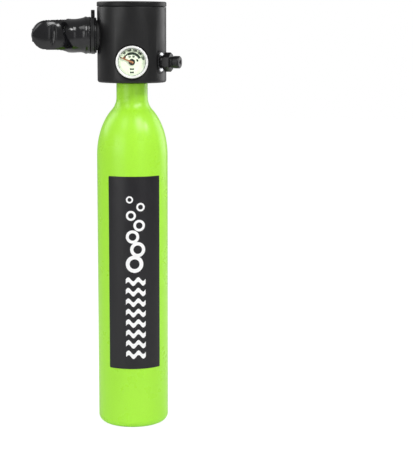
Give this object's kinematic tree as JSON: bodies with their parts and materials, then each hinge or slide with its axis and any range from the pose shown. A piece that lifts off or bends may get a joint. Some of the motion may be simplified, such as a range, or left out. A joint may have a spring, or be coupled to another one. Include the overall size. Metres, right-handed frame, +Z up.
{
  "type": "mini scuba tank",
  "caption": "Slim gas cylinder with a regulator head: side mouthpiece, front pressure gauge, filling nipple, top purge button and rear exhaust.",
  "frame": {"origin": "centre of the cylinder's flat base, on the surface that it stands on", "axes": "+Z up along the cylinder's axis, gauge facing -Y, mouthpiece pointing towards -X, filling nipple on the +X side"},
  "size_m": [0.124, 0.0629, 0.3607],
  "materials": {
    "lime_paint": "gloss lime green enamel over aluminium",
    "black_anodised": "satin black anodised",
    "cover_plastic": "fine satin black moulding",
    "inner_plastic": "plain black moulding",
    "seal_rubber": "black nitrile",
    "mouth_silicone": "glossy black silicone",
    "tie_nylon": "black nylon",
    "label_vinyl": "satin black vinyl film",
    "steel": "stainless steel",
    "bezel_metal": "bright satin silver bezel ring",
    "brass": "turned brass",
    "bronze": "sintered bronze",
    "copper": "copper alloy",
    "seat_polymer": "white polymer",
    "dial_print": "pale luminous green dial with printed scale",
    "needle_paint": "orange painted pointer",
    "lens": "clear window"
  },
  "bodies": {
    "tank": {"cylinder_shell": "lime_paint", "label": "label_vinyl", "neck_o_ring": "seal_rubber", "neck_spigot": "brass", "inlet_filter": "bronze", "head_body": "black_anodised", "piston_spring": "steel", "first_stage_cap": "brass", "demand_valve_body": "brass", "poppet_spring": "steel", "poppet_adjuster": "brass", "lever_pin": "steel", "diaphragm": "seal_rubber", "diaphragm_guard": "inner_plastic", "purge_spring": "steel", "top_cover": "cover_plastic", "gauge_case": "black_anodised", "gauge_stem": "brass", "gauge_o_ring": "seal_rubber", "bourdon_tube": "copper", "gauge_dial": "dial_print", "gauge_lens": "lens", "gauge_bezel": "bezel_metal", "fill_valve_body": "black_anodised", "fill_valve_o_ring": "seal_rubber", "fill_spring": "steel", "fill_retainer": "brass", "burst_disc": "copper", "burst_plug": "brass", "exhaust_spider": "inner_plastic", "exhaust_cover": "cover_plastic", "outlet_tube": "inner_plastic", "outlet_o_ring": "seal_rubber", "mouthpiece": "mouth_silicone", "mouthpiece_tie": "tie_nylon"},
    "purge_button": {"purge_button": "cover_plastic"},
    "diaphragm_plate": {"diaphragm_plate": "seat_polymer"},
    "demand_lever": {"demand_lever": "steel"},
    "demand_poppet": {"demand_poppet": "steel"},
    "pressure_piston": {"pressure_piston": "brass", "piston_seat": "seat_polymer", "piston_stem_o_ring": "seal_rubber", "piston_head_o_ring": "seal_rubber"},
    "gauge_needle": {"gauge_needle": "needle_paint"},
    "fill_poppet": {"fill_poppet": "steel"},
    "exhaust_flap": {"exhaust_flap": "seal_rubber"}
  },
  "joints": [
    {"name": "purge_press", "type": "slide", "parent": "tank", "child": "purge_button", "axis": [0, 0, -1], "range_m": [0, 0.003], "stiffness_N_per_m": 400, "springref_m": -0.003, "deforming": ["purge_spring"]},
    {"name": "diaphragm_travel", "type": "slide", "parent": "tank", "child": "diaphragm_plate", "axis": [0, 0, -1], "range_m": [0, 0.0031]},
    {"name": "lever_turn", "type": "hinge", "parent": "tank", "child": "demand_lever", "pos_m": [0.012, 0, 0.342], "axis": [0, -1, 0], "range_deg": [0, 14.8]},
    {"name": "poppet_travel", "type": "slide", "parent": "tank", "child": "demand_poppet", "axis": [1, 0, 0], "range_m": [0, 0.0013], "deforming": ["poppet_spring"]},
    {"name": "piston_travel", "type": "slide", "parent": "tank", "child": "pressure_piston", "axis": [0, 0, 1], "range_m": [0, 0.0008], "stiffness_N_per_m": 500, "springref_m": -0.001, "deforming": ["piston_spring"]},
    {"name": "needle_turn", "type": "hinge", "parent": "tank", "child": "gauge_needle", "pos_m": [0, -0.029, 0.3113], "axis": [0, 1, 0], "range_deg": [0, 138], "stiffness_Nm_per_rad": 0.0005},
    {"name": "fill_poppet_travel", "type": "slide", "parent": "tank", "child": "fill_poppet", "axis": [-0.9272, 0.3746, 0], "range_m": [0, 0.0012], "stiffness_N_per_m": 300, "springref_m": -0.001, "deforming": ["fill_spring"]},
    {"name": "exhaust_flap_lift", "type": "slide", "parent": "tank", "child": "exhaust_flap", "axis": [0, 1, 0], "range_m": [0, 0.0012], "stiffness_N_per_m": 20, "springref_m": -0.001}
  ],
  "couplings": [
    {"joint": "diaphragm_travel", "follows": "purge_press", "ratio": 1},
    {"joint": "lever_turn", "follows": "purge_press", "rad_per_m": 83.333},
    {"joint": "poppet_travel", "follows": "purge_press", "ratio": 0.41667}
  ]
}
